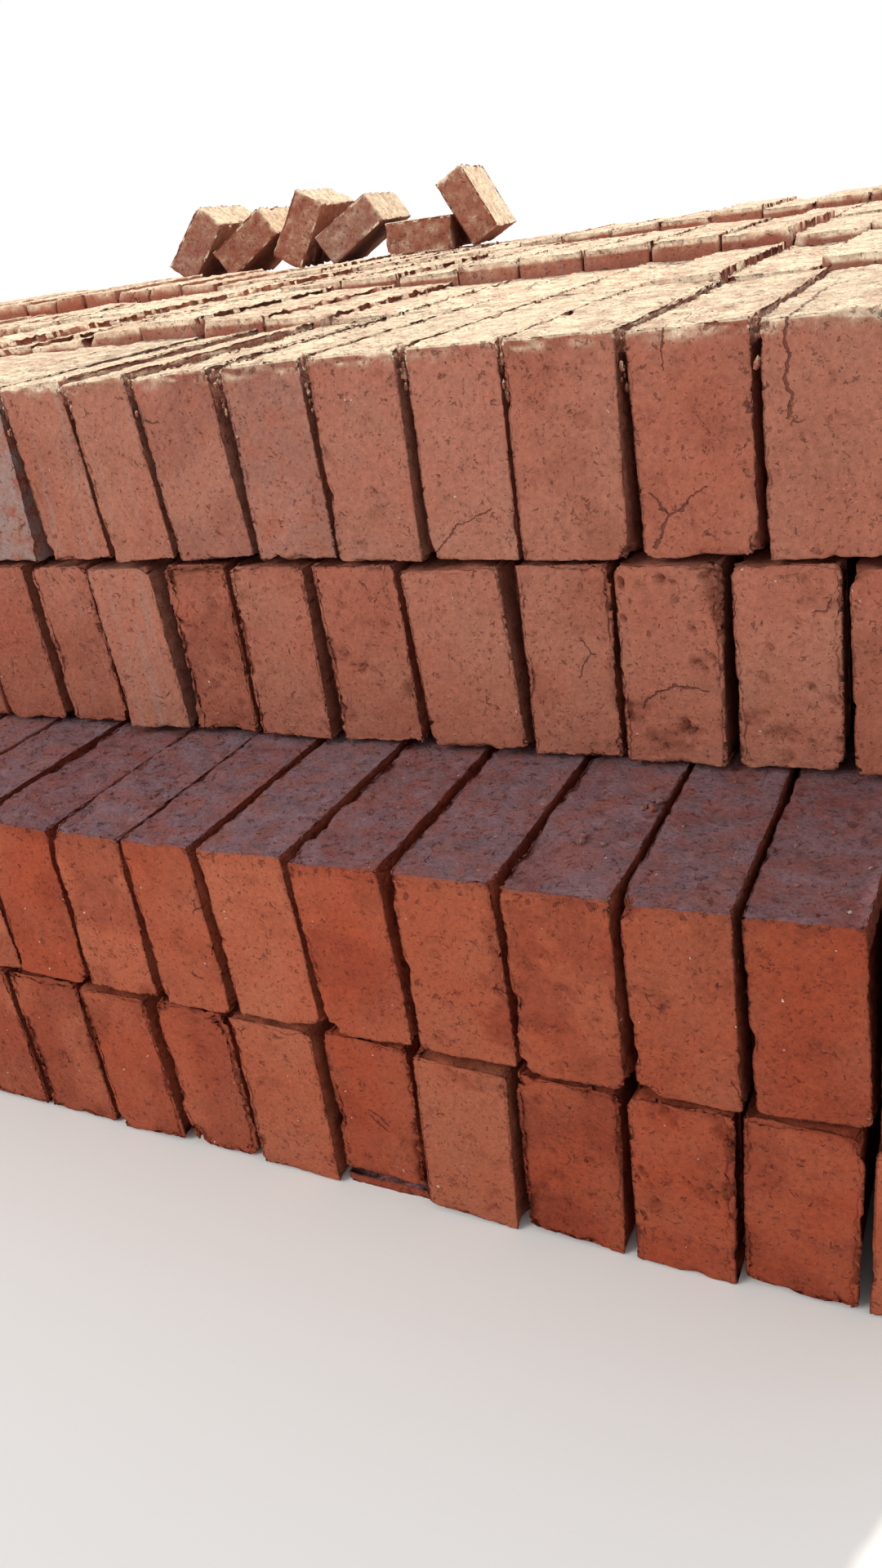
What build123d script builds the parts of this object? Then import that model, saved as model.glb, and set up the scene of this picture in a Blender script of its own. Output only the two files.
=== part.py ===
from build123d import *
import math
import os
import random
from dataclasses import dataclass

# A stack of about eleven hundred hand-moulded bricks, piled dry as a load.
# Every brick stands on its long narrow edge, with one end facing the front (-Y).
# There are four courses: two deep ones below, and two above them that are set back and leave a ledge.
# Lengths are in millimetres and angles in degrees.
# X runs along the stack, Y from its front to its back, and Z up from the floor.

# Driving dimensions of one brick
brick_length = 280.0
brick_width = 70.0
course_rise = 142.0
arris_wear = 2.5

# Driving dimensions of the stack
bricks_per_row = 37
lower_courses = 2
upper_courses = 2
lower_rows = 8
rows_left_out = 1
front_ledge = 171.0
side_joint = 0.8
row_joint = 5.0
core_clearance = 0.8
end_slack = 4.0

# How far hand-moulded and hand-laid bricks differ from one another,
# and how much higher some rows of the top course stand
width_spread = 3.0
length_spread = 2.0
jog_limit = 1.8
proud_limit = 5.0
lean_spread = 0.9
lean_limit = 4.0
lean_follow = 0.6
yaw_limit = 0.2
lift_step = 7.0
lift_limit = 15.0
raised_rows = {3: 4.0, 5: 12.0}
knocked_share = 0.45
knock_least = 5.0
knock_most = 12.0

# How far each course is shifted along X, so that side joints don't line up from course to course
course_shift = {1: 1.0, 2: 20.0, 3: -27.0, 4: -17.0}

# The stretch of each front row that is known brick by brick, from left to right: how much wider the brick is
# than usual, how it leans (+ is to the right at its top) and how far it stands proud
first_known = 27
known_bricks = {
    1: [
        (4, 0, 0), (-2, -1, 2), (-1, 0.3, 0), (3, 0.5, 1),
        (0, 1.5, -2), (1.5, 2.7, 4), (3.5, 1.7, 1), (-1, 0.5, 3),
    ],
    2: [
        (0, 2, 0), (-4, 2, 1), (-9, -0.7, 3), (2, -1.9, 0),
        (0, -2.4, 2), (2.5, -1, 1), (1.5, -0.3, 4), (-3, -1.5, 2),
    ],
    3: [
        (-7, -1.8, 0), (-3, -2, 4), (-7, 0.1, 0), (-1, 0.6, 3),
        (3, -1.4, 0), (9, -3.5, 4), (-2, -0.4, 1), (2, -0.5, 4),
    ],
    4: [
        (-5, -3, 0), (-8, -3.5, 3), (1, -3.6, 2), (-1.5, -1.5, 0),
        (0, 0, 3), (-2, 0, 0), (6, 0, 4), (6, -2, 1),
    ],
}

# The brick that has snapped near its foot, and the slice that lies under it
snapped_course = 1
snapped_number = first_known + 4
slice_height = 13.0
crack_mouth = 3.0
crack_root = 0.4

# Bricks that were thrown on top and lie loose at the back.
# One lies flat, and the others have fallen against it and against each other.
# The flat one lies at the brick of this number in the row below, and the rows there are level.
# Each lean is from upright, + to the right at the top.
loose_gap = 0.3
heap_number = 19
heap_turn = 14.0
heap_set_back = 100.0
room_left = 8
room_right = 5
right_lean = -28.0
left_leans = [59.0, 31.0, 57.0, 40.0]

# Sizes that follow from the driving dimensions
row_pitch = brick_length + row_joint
upper_rows = lower_rows - rows_left_out
courses = lower_courses + upper_courses
lower_depth = lower_rows * row_pitch - row_joint
front_y = -lower_depth / 2


@dataclass
class Brick:
    """One brick: its size, how it is turned, and where its centre stands."""

    width: float
    length: float
    height: float
    lean: float
    yaw: float
    x: float
    y: float
    z: float
    knock: float
    knocked_side: int
    top: float

    def side_x(self, side, y, z):
        """Where its right (+1) or left (-1) broad side stands along X, at a given depth and height."""
        lean, yaw = math.radians(self.lean), math.radians(self.yaw)
        across = side * self.width / 2
        along = (y - self.y) * math.sin(yaw) * math.cos(lean)
        up = (z - self.z) * math.sin(lean)
        return self.x + (across - along + up) / (math.cos(yaw) * math.cos(lean))

    def reach_x(self, side):
        """The furthest that it reaches along X on one side."""
        ends = (self.y - brick_length / 2, self.y + brick_length / 2)
        levels = (self.z - course_rise / 2, self.z + course_rise / 2)
        reached = [self.side_x(side, y, z) for y in ends for z in levels]
        return max(reached) if side > 0 else min(reached)


def course_bed(course):
    """The level that a course stands on."""
    return (course - 1) * course_rise


def rows_in(course):
    """How many rows deep a course is."""
    return lower_rows if course <= lower_courses else upper_rows


def row_front(course, row):
    """Where the front of a row is, before its bricks are pushed in or out."""
    return front_y + (0 if course <= lower_courses else front_ledge) + (row - 1) * row_pitch


def drawn_brick(draw, course, row, number, before):
    """One brick as it comes to hand: its size and lean differ a little from the last one's."""
    width = brick_width + draw.uniform(-width_spread, width_spread)
    length = brick_length - draw.uniform(0, length_spread)
    slant = draw.gauss(0, lean_spread)
    yaw = draw.uniform(-yaw_limit, yaw_limit)
    jog = draw.uniform(-jog_limit, jog_limit)
    proud = draw.uniform(-jog_limit, proud_limit)
    step = draw.uniform(-lift_step, lift_step)
    knock = draw.uniform(knock_least, knock_most) * (draw.random() < knocked_share)
    knocked_side = draw.choice((-1, 1))
    lean = slant + (before.lean * lean_follow if before else 0)
    lean = max(-lean_limit, min(lean_limit, lean))
    outwards = {1: -1, rows_in(course): 1}.get(row)
    if outwards:
        jog = outwards * proud
    known = number - first_known
    if row == 1 and 0 <= known < len(known_bricks[course]):
        wider, lean, proud = known_bricks[course][known]
        width = brick_width + wider
        jog = -proud
    bed = course_bed(course)
    rise = course_rise
    if course == courses and row > 1:
        under_loose = row >= upper_rows - 1 and -room_left <= number - heap_number <= room_right
        raised = raised_rows.get(row, 0.0)
        last_lift = before.top - bed - course_rise - raised if before else 0
        rise += 0 if under_loose else raised + max(0.0, min(lift_limit, last_lift + step))
    tilt = math.radians(abs(lean))
    height = (rise - width * math.sin(tilt)) / math.cos(tilt)
    middle = row_front(course, row) + brick_length / 2 + jog
    centre = bed + rise / 2
    return Brick(width, length, height, lean, yaw, 0.0, middle, centre, knock, knocked_side, bed + rise)


def laid_row(course, row):
    """The bricks of one row, laid from left to right, each pushed up against the last."""
    draw = random.Random(course * 100 + row)
    bricks = []
    for number in range(bricks_per_row):
        before = bricks[-1] if bricks else None
        brick = drawn_brick(draw, course, row, number, before)
        if before:
            front = max(each.y - each.length / 2 for each in (before, brick))
            back = min(each.y + each.length / 2 for each in (before, brick))
            levels = (course_bed(course), min(before.top, brick.top))
            steps = [before.side_x(1, y, z) - brick.side_x(-1, y, z) for y in (front, back) for z in levels]
            brick.x = max(steps) + side_joint
        bricks.append(brick)
    middle = (bricks[0].reach_x(-1) + bricks[-1].reach_x(1)) / 2
    for brick in bricks:
        brick.x += course_shift[course] - middle
    return bricks


def brick_solid(brick, worn_faces):
    """A brick with the arrises of its open faces worn off, and on some a top corner knocked off."""
    blank = Box(brick.width, brick.length, brick.height)
    open_faces = {
        "front": blank.faces().sort_by(Axis.Y)[0],
        "back": blank.faces().sort_by(Axis.Y)[-1],
        "left": blank.faces().sort_by(Axis.X)[0],
        "right": blank.faces().sort_by(Axis.X)[-1],
        "top": blank.faces().sort_by(Axis.Z)[-1],
    }
    edges = ShapeList()
    for name in worn_faces:
        edges += [edge for edge in open_faces[name].edges() if edge not in edges]
    shape = chamfer(edges, arris_wear)
    if brick.knock:
        end = 1 if "back" in worn_faces else -1
        corner = Vector(brick.knocked_side * brick.width, end * brick.length, brick.height) * 0.5
        facing = Vector(brick.knocked_side, end, 1).normalized()
        shape = split(shape, bisect_by=Plane(corner - facing * brick.knock, z_dir=facing), keep=Keep.BOTTOM)
    return Pos(brick.x, brick.y, brick.z) * Rot(0, 0, brick.yaw) * Rot(0, brick.lean, 0) * shape


def core_edge(front_bricks, side):
    """Where the hidden bricks of a course end, one brick in from the end of its front row."""
    outermost = front_bricks[-1] if side > 0 else front_bricks[0]
    return outermost.reach_x(side) - side * (brick_width + end_slack)


def end_bricks(course, side, edge):
    """The bricks that close one end of a course, one for each hidden row, each leaning against that row."""
    draw = random.Random(course * 100 + 50 + side)
    bricks = []
    for row in range(2, rows_in(course)):
        brick = drawn_brick(draw, course, row, 0, None)
        brick.x += edge + side * core_clearance - brick.reach_x(-side)
        bricks.append(brick)
    return bricks


def core_block(course, left, right):
    """The bricks of a course that nobody sees, as one plain block between its outer bricks."""
    front = row_front(course, 2) - core_clearance
    back = row_front(course, rows_in(course)) - row_joint + core_clearance
    block = Box(right - left, back - front, course_rise, align=Align.MIN)
    return Pos(left, front, course_bed(course)) * block


def snapped_pair(brick):
    """A snapped brick and the slice under it: the crack between them opens towards the front."""
    whole = brick_solid(brick, ["front"])
    root = Vector(brick.x, brick.y + brick.length / 2, brick.z - course_rise / 2 + slice_height)
    fall = math.degrees(math.atan2(crack_mouth - crack_root, brick.length))
    upper_face = Plane(root + Vector(0, 0, crack_root), z_dir=(0, 0, 1))
    lower_face = Plane(Location(root, (fall, 0, 0)))
    upper = split(whole, bisect_by=upper_face, keep=Keep.TOP)
    lower = split(whole, bisect_by=lower_face, keep=Keep.BOTTOM)
    return upper, lower


def lying_brick(place):
    """A brick that lies on its broad side."""
    shape = Box(course_rise, brick_length, brick_width, align=(Align.MIN, Align.CENTER, Align.MIN))
    ends = shape.faces().sort_by(Axis.Y)
    return place * chamfer(ends[0].edges() + ends[-1].edges(), arris_wear)


def leaning_brick(place, foot, lean):
    """A brick that has tipped over one of its lower arrises, which is its foot."""
    hinge = Align.MAX if lean > 0 else Align.MIN
    shape = Box(brick_width, brick_length, course_rise, align=(hinge, Align.CENTER, Align.MIN))
    ends = shape.faces().sort_by(Axis.Y)
    shape = chamfer(ends[0].edges() + ends[-1].edges(), arris_wear)
    return place * Pos(foot, 0, 0) * Rot(0, lean, 0) * shape


def foot_against(arris_height, lean):
    """How far from an arris the foot of a brick is when its broad side leans on that arris."""
    tilt = math.radians(abs(lean))
    return (arris_height * math.sin(tilt) + loose_gap) / math.cos(tilt)


def foot_behind(lean, next_lean):
    """How far a brick's foot is from the next one's when its top leans on the next one's broad side."""
    over = course_rise * math.sin(math.radians(lean - next_lean)) + brick_width + loose_gap
    return over / math.cos(math.radians(next_lean))


def loose_bricks(row_below):
    """The bricks thrown on top: one flat, one fallen against its right side, and a row against its left."""
    level = course_bed(courses) + course_rise + loose_gap
    y = row_front(courses, upper_rows) + heap_set_back
    heap = Location((row_below[heap_number].x, y, level), (0, 0, heap_turn))
    right_foot = course_rise + foot_against(brick_width, right_lean)
    fallen = [lying_brick(heap), leaning_brick(heap, right_foot, right_lean)]
    foot, arris_x, arris_height, last_lean = 0.0, 0.0, brick_width, 90.0
    for lean in left_leans:
        if lean < last_lean:
            foot = arris_x - foot_against(arris_height, lean)
        else:
            foot -= foot_behind(lean, last_lean)
        fallen.append(leaning_brick(heap, foot, lean))
        arris_x = foot - brick_width * math.cos(math.radians(lean))
        arris_height = brick_width * math.sin(math.radians(lean))
        last_lean = lean
    return fallen


def stack_parts():
    """Every node of the stack by its name, each a list of solids that don't touch."""
    parts = {}
    for course in range(1, courses + 1):
        top = ["top"] if course in (lower_courses, courses) else []
        front, back = laid_row(course, 1), laid_row(course, rows_in(course))
        front_solids = [brick_solid(brick, ["front"] + top) for brick in front]
        if course == snapped_course:
            front_solids[snapped_number], snapped = snapped_pair(front[snapped_number])
            parts["snapped_slice"] = [snapped]
        parts[f"course_{course}_front_row"] = front_solids
        parts[f"course_{course}_back_row"] = [brick_solid(brick, ["back"] + top) for brick in back]
        if course == courses:
            continue
        left, right = core_edge(front, -1), core_edge(front, 1)
        parts[f"course_{course}_core"] = [core_block(course, left, right)]
        for side, name, edge in ((-1, "left", left), (1, "right", right)):
            closers = end_bricks(course, side, edge)
            parts[f"course_{course}_{name}_end"] = [brick_solid(brick, [name]) for brick in closers]
    for row in range(2, upper_rows):
        bricks = laid_row(courses, row)
        parts[f"course_{courses}_row_{row}"] = [brick_solid(brick, ["top"]) for brick in bricks]
    parts["loose_bricks"] = loose_bricks(laid_row(courses, upper_rows - 1))
    return parts


parts = stack_parts()
boxes = [solid.bounding_box() for solids in parts.values() for solid in solids]
middle_x = (min(box.min.X for box in boxes) + max(box.max.X for box in boxes)) / 2
middle_y = (min(box.min.Y for box in boxes) + max(box.max.Y for box in boxes)) / 2
os.makedirs("parts", exist_ok=True)
for name, solids in parts.items():
    centred = [Pos(-middle_x, -middle_y, 0) * solid for solid in solids]
    export_step(Compound(children=centred), f"parts/{name}.step")
print("the stack was moved by", round(-middle_x, 3), round(-middle_y, 3), "to centre it on its base")
print(len(parts), "nodes,", sum(len(solids) for solids in parts.values()), "solids")
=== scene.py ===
# %% [markdown]
# # A dry stack of handmade bricks
# The real object is a load of about eleven hundred red bricks, moulded by hand and fired in a clamp.
# They stand on edge in four courses, and the two upper courses are set back, so a ledge shows.
# The fixed frame holds every brick at its real size and place as a plain block with its arrises cut.
# This lesson dresses those blocks as worn clay: shape first, then the finish, then light and camera.

# %% Load the fixed frame
import math
import random

import bmesh
import bpy
from mathutils import Matrix, Vector, noise
from mathutils.bvhtree import BVHTree


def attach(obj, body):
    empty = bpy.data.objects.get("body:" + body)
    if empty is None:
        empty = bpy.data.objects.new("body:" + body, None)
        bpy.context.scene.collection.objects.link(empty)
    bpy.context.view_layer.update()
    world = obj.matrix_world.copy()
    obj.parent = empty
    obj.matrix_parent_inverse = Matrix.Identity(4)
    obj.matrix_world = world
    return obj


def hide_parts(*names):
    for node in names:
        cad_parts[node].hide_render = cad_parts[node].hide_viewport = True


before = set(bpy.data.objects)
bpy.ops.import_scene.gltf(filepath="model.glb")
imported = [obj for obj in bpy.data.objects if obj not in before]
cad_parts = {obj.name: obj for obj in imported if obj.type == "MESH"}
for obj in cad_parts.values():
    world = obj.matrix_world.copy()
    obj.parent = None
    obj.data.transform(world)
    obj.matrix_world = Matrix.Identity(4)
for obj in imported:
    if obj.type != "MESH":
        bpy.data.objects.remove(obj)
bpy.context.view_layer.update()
MM = 0.001
COURSES = 4
TOPPED_COURSES = (2, 4)  # the ledge and the top
BRICKS_IN_A_ROW = 37
UPPER_FRONT = -0.967  # where the front of courses 3 and 4 stands, in metres

# %% [markdown]
# ## Finding each brick
# A row of bricks comes as one mesh of loose triangles. Merged, it falls apart into islands, one a brick.
# The largest triangle of an island lies on the brick's broad side and gives the axis across it.
# The largest one that is square to that axis gives the brick's upright, and the third axis runs along it.
# Reading the bricks this way, and not from a list, means that the worn ones stand just where the plain ones
# do.

# %% Read the bricks of a row
MERGED = 0.02 * MM
KNOCKED_MORE_THAN = 6 * MM
UPRIGHT = 0.9999


class Brick:
    """Where one brick stands: its centre, its axes (across, along, up) and half its size on each."""

    def __init__(self, corners, across, up):
        across = across * (1 if max(across, key=abs) > 0 else -1)
        up = up * (1 if max(up, key=abs) > 0 else -1)
        along = up.cross(across).normalized()
        self.axes = Matrix((across, along, across.cross(along)))
        local = [self.axes @ corner for corner in corners]
        low = Vector([min(point[i] for point in local) for i in range(3)])
        high = Vector([max(point[i] for point in local) for i in range(3)])
        middle = (high + low) / 2
        self.half = (high - low) / 2
        self.centre = self.axes.transposed() @ middle
        self.knocked = {}
        for signs in [(x, y, z) for x in (-1, 1) for y in (-1, 1) for z in (-1, 1)]:
            corner = middle + Vector([signs[i] * self.half[i] for i in range(3)])
            missing = min((point - corner).length for point in local)
            if missing > KNOCKED_MORE_THAN:
                self.knocked[signs] = missing / math.sqrt(3)
        self.slant = None
        if up.dot(self.axes[2]) < UPRIGHT:
            foot = self.centre.z - self.half.z
            self.slant = min((corner.z for corner in corners), key=lambda z: abs(z - foot))


def bricks_in(node):
    """The bricks of a node, from left to right."""
    row = bmesh.new()
    row.from_mesh(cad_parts[node].data)
    bmesh.ops.remove_doubles(row, verts=row.verts, dist=MERGED)
    row.faces.index_update()
    bricks, left = [], set(row.verts)
    while left:
        reached, island = [left.pop()], set()
        while reached:
            vert = reached.pop()
            island.add(vert)
            for edge in vert.link_edges:
                other = edge.other_vert(vert)
                if other in left:
                    left.remove(other)
                    reached.append(other)
        faces = {face.index: face for vert in island for face in vert.link_faces}
        faces = [faces[index] for index in sorted(faces)]  # in a fixed order, so each run settles a tie alike
        across = max(faces, key=lambda face: face.calc_area()).normal.copy()
        square = [face for face in faces if abs(face.normal.dot(across)) < 0.1]
        up = max(square, key=lambda face: face.calc_area()).normal.copy()
        bricks.append(Brick([vert.co.copy() for vert in island], across, up))
    row.free()
    return sorted(bricks, key=lambda brick: brick.centre.x)


first = bricks_in("course_1_front_row")
print(len(first), "bricks in the first row, of", [round(2000 * size) for size in first[0].half], "mm")

# %% [markdown]
# ## One worn brick
# A moulded brick has faces that are a little hollow, arrises that crumble unevenly, knocked corners and pits.
# A cube cut into a fine grid can take all of these as small moves of its points, nearly all inwards, so that
# a worn brick stays in the space of its block. The grid is close near the arrises, where most happens.
# Sides that stand against the next brick are dissolved into one face each: nobody sees them.

# %% Cut a brick-shaped grid
SHOWN = {(1, False): "front", (1, True): "back", (0, False): "left", (0, True): "right", (2, True): "top"}
JOINT_DEPTH = 30.0  # how deep into a joint one can see, in millimetres
TOP_ONLY = ("top",)


def closer_at_ends(t, share):
    """Moves a place t from -1 to 1 towards both ends, so that the grid is closer there."""
    return (1 - share) * t + share * math.sin(t * math.pi / 2)


def closer_to(side, t, power):
    """Moves a place t from -1 to 1 towards one side."""
    return side * (1 - 2 * ((1 - side * t) / 2) ** power)


def brick_grid(brick, cuts, open_faces):
    """A closed grid of the brick's size in millimetres, closest where it shows."""
    grid = bmesh.new()
    bmesh.ops.create_cube(grid, size=2.0)
    for axis in range(3):
        along = [edge for edge in grid.edges if abs(edge.verts[0].co[axis] - edge.verts[1].co[axis]) > 1.9]
        bmesh.ops.subdivide_edges(grid, edges=along, cuts=cuts[axis] - 1, use_grid_fill=True)
    half = brick.half / MM
    for vert in grid.verts:
        x, y, z = vert.co
        x, z = closer_at_ends(x, 0.5), closer_at_ends(z, 0.5)
        if not {"top", "all", "left", "right"} & set(open_faces):
            y = closer_to(-1 if "front" in open_faces else 1, y, 2.4)
        else:
            y = closer_at_ends(y, 0.3)
        if open_faces == TOP_ONLY:
            z = closer_to(1, z, 1.8)
        vert.co = Vector((x * half.x, y * half.y, z * half.z))
    return grid


# %% [markdown]
# Most of a brick is out of sight. Before it is worn, the faces that lie deep in its joints are found, side by
# side, so that each side can become one flat face. This keeps the long rows light.

# %% Find what nobody sees
def hidden_faces(grid, half, open_faces):
    """The faces that lie deeper in a joint than anyone sees, one group for each side."""
    groups = {}
    if "all" in open_faces:
        return []
    for face in grid.faces:
        middle, normal = face.calc_center_median(), face.normal
        side = max(range(3), key=lambda i: abs(normal[i]))
        key = (side, normal[side] > 0)
        near = (
            SHOWN.get(key) in open_faces
            or ("front" in open_faces and middle.y < JOINT_DEPTH - half.y)
            or ("back" in open_faces and middle.y > half.y - JOINT_DEPTH)
            or ("left" in open_faces and middle.x < JOINT_DEPTH - half.x)
            or ("right" in open_faces and middle.x > half.x - JOINT_DEPTH)
            or ("top" in open_faces and middle.z > half.z - JOINT_DEPTH)
        )
        if not near:
            groups.setdefault(key, []).append(face)
    return groups.values()


# %% [markdown]
# The wear is worked out point by point. Perlin noise at several scales makes the faces uneven and tears the
# broad sides, a radius that changes along each arris rounds it, bites are taken out of it, and a plane set
# across a corner knocks it off. Every brick reads the noise at its own place, far from the others, so no
# two are alike, and each run gives the same. First comes what a brick draws once, in millimetres. From here
# on, p is a point of the brick, and q is the same point moved to the brick's own stretch of noise.

# %% What each brick draws
# How many waves of noise there are to a millimetre, from the hollow of a whole face to the grain
HOLLOW, PATCHES, LARGE, BITES, MEDIUM, JAGS, SMALL, TINY = 0.013, 0.022, 0.03, 0.034, 0.065, 0.11, 0.21, 0.47
MOST_SUNK = 0.4  # of half a size
ON_FACE = 0.01  # a point nearer to a face than this lies on it
# The dust near the top also carries painted light: the cream on the upper courses paints sunlight.
DUST_AND_LIGHT_DEPTH, FULL_DUST_AND_LIGHT = 14, 6  # how far down from the top dust reaches, and how far it is at its full
FLASH_DEPTH = 7  # how far down from the top the flash of clay starts


def smooth(low, high, value):
    """0 below low, 1 above high, and an even rise between them."""
    t = max(0.0, min(1.0, (value - low) / (high - low)))
    return t * t * (3 - 2 * t)


class Wear:
    """The wear of one brick: what it draws once, and how that moves each point of its grid."""

    def __init__(self, brick, seed, look, burr, open_faces):
        draw = random.Random(seed)
        self.brick, self.half = brick, brick.half / MM
        self.rough, self.ragged, self.scars = look["rough"], look["ragged"], look["scars"]
        self.burr, self.everywhere = burr, "all" in open_faces
        self.topped, self.only_top = "top" in open_faces, open_faces == TOP_ONLY
        self.away = Vector([draw.uniform(-900, 900) for _ in range(3)])
        self.chips = self.draw_chips(draw)
        self.pits = self.draw_pits(draw, 1 if "back" in open_faces else -1)
        sides = [(right, high) for right in (False, True) for high in (False, True)]
        self.rounded = {side: draw.uniform(4.0, 15.0) * self.ragged for side in sides}
        self.tapered = {side: max(0.0, draw.uniform(-1.5, 3.2)) for side in sides}
        self.lean = draw.uniform(-1.0, 1.0)
        self.torn = 1.4 if self.topped else 2.4
        for side in sides:
            if self.topped and side[1]:
                self.rounded[side] *= 0.25 if self.only_top else 0.5
                self.tapered[side] *= 0.0 if self.only_top else 0.6

    def draw_chips(self, draw):
        """Knocked corners: which way each one faces, where it was, and how deep it is cut."""
        chips = [(Vector(signs), size / MM) for signs, size in self.brick.knocked.items()]
        for _ in range(4):
            chips.append((Vector([draw.choice((-1, 1)) for _ in range(3)]), draw.uniform(0.5, 5.0)))
        return [
            (signs.normalized(), Vector([signs[i] * self.half[i] for i in range(3)]), size)
            for signs, size in chips]

    def draw_pits(self, draw, facing):
        """Pits in the end and the top: the place, radius and depth of each."""
        pits = []
        for _ in range(6 + int(10 * self.rough)):
            axis = draw.choice((1, 1, 2))
            spot = Vector([draw.uniform(-1, 1) * self.half[i] for i in range(3)])
            spot[axis] = self.half[axis] * (1 if axis == 2 else facing)
            pits.append((spot, draw.uniform(2.0, 5.0), draw.uniform(0.8, 2.2)))
        return pits


print("the largest waves are about", round(1 / LARGE), "mm long, the smallest", round(1 / TINY), "mm")

# %% [markdown]
# A point on a face first sinks, by an amount that differs between the faces that show, the torn broad sides
# and the rough beds. Scars and pits sink it further, and clay without its skin is marked as patched.

# %% Sink the faces
def sinks(wear, p, q, waves, behind):
    """How far the broad sides, the faces that show and the beds sink at a point, and how bare it is."""
    large, medium, small, tiny = waves
    half, ragged, torn = wear.half, wear.ragged, wear.torn
    patch = smooth(0.62 - 0.5 * wear.rough, 1.0 - 0.5 * wear.rough, 0.5 + noise.noise(q * PATCHES))
    patch *= min(1.0, 2 * wear.rough)
    face = 1.0 + 0.8 * noise.noise(q * HOLLOW) + 0.6 * medium + 0.45 * small + 0.35 * tiny
    if p.z > half.z - ON_FACE:
        face += 1.4 * max(0.0, medium) + 2.0 * abs(small) + 1.0 * tiny
    face += patch * (0.8 + 1.4 * abs(medium) + 2.4 * tiny)
    bed = face + ragged * (2.4 * max(0.0, large + 0.1) + 2.0 * max(0.0, medium))
    right, rise = p.x > 0, (p.z / half.z + 1) / 2
    side = 1.0 + wear.tapered[right, True] * rise + wear.tapered[right, False] * (1 - rise)
    side += ragged * (
        torn * max(0.0, large + 0.1) + 0.75 * torn * max(0.0, medium + 0.1) + 3.0 * abs(small) + 1.8 * tiny)
    side *= 1.0 - 0.5 * behind
    if wear.only_top:
        side = 0.3 + ragged * (1.0 * abs(small) + 0.8 * tiny)
    for x, z, wide, high, depth in wear.scars:
        if p.y < 1 - half.y:
            reach = math.hypot((p.x - x) / wide, (p.z - z) / high) * (1 + 1.3 * medium + 0.8 * small)
            inside = smooth(1.05, 0.75, reach)
            face += depth * inside * (0.7 + 1.5 * tiny)
            patch = max(patch, inside)
    for spot, radius, depth in wear.pits:
        if abs(p.x - spot.x) < 8 and abs(p.y - spot.y) < 8 and abs(p.z - spot.z) < 8:
            reach = (p - spot).length / (radius * (1 + 0.8 * small))
            if reach < 1:
                face += depth * (1 - reach ** 2)
    return side, face, bed, patch


def sink(wear, p, side, face, bed):
    """Moves a point in from each face that it lies on."""
    for i, half in enumerate(wear.half):
        if half - abs(p[i]) < ON_FACE:
            in_bed = i == 2 and (p.z < 0 or not wear.topped)
            depth = side if i == 0 else bed if in_bed else face
            p[i] -= math.copysign(min(depth, MOST_SUNK * half), p[i])


# %% [markdown]
# Then the arrises are rounded. A wide, uneven round runs along the four long arrises, as slumped clay has it,
# and a tighter one with bites in it goes round every arris. Corners are knocked off last.

# %% Round the arrises and knock the corners
def round_off(wear, p, q, waves, behind, right):
    """Rounds the arrises at a point. Gives its new place and its wear from 0 to 1, which is 1 near a broad
    side, as painted shade in the joints.
    """
    _, medium, small, _ = waves
    half, ragged = wear.half, wear.ragged
    bite = smooth(0.12, 0.45, noise.noise(q * BITES)) * ragged
    radius = 2.4 + ragged * (2.6 * max(0.0, medium + 0.3) + 4.0 * abs(small))
    radius += 6.0 * bite * (0.4 + abs(medium))
    slump = wear.rounded[right, p.z > 0] * max(0.3, 1 + 1.6 * medium + 0.8 * small) * (1.0 - 0.6 * behind)
    past = Vector((abs(p.x) - half.x + slump, abs(p.z) - half.z + slump))
    if min(past) > 0 and past.length > slump:
        past *= slump / past.length
        p.x = math.copysign(half.x - slump + past.x, p.x)
        p.z = math.copysign(half.z - slump + past.y, p.z)
    inner = Vector()
    for i in range(3):
        room = half[i] - min(radius, 0.6 * half[i])
        inner[i] = max(-room, min(room, p[i]))
    out = p - inner
    # Within 3 mm of either broad side a point is marked fully, which paints the shade of the joints on those
    # sides.
    wear_and_joint_shade = smooth(0.85 * radius, 1.3 * radius, out.length) if half.x - abs(p.x) > 3 else 1.0
    if out.length > radius:
        p = inner + out.normalized() * radius
    for facing, corner, size in wear.chips:
        over = (p - corner).dot(facing) + size + 2.2 * small + 1.2 * medium
        if over > 0:
            p -= facing * over
            wear_and_joint_shade = 1.0
    return p, wear_and_joint_shade


# %% [markdown]
# Along the joints of the top, clay that was squeezed out of the mould stands up as a ragged flash. At last a
# brick that was cut at a slant is kept above its cut, and each point is marked for its wear, with painted
# shade on the sides in the joints, and for its dust, with painted light.

# %% Wear the grid
def raise_flash(wear, p, q, small, tiny):
    """Lifts a point beside a joint of the top."""
    beside = smooth(9.0, 1.5, wear.half.x - abs(p.x))
    jag = max(0.0, noise.noise(q * JAGS) + 0.35) * (0.5 + 1.6 * tiny + abs(small))
    p.z += wear.burr * beside * jag + 0.5 * wear.burr * wear.lean * p.x / wear.half.x


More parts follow.
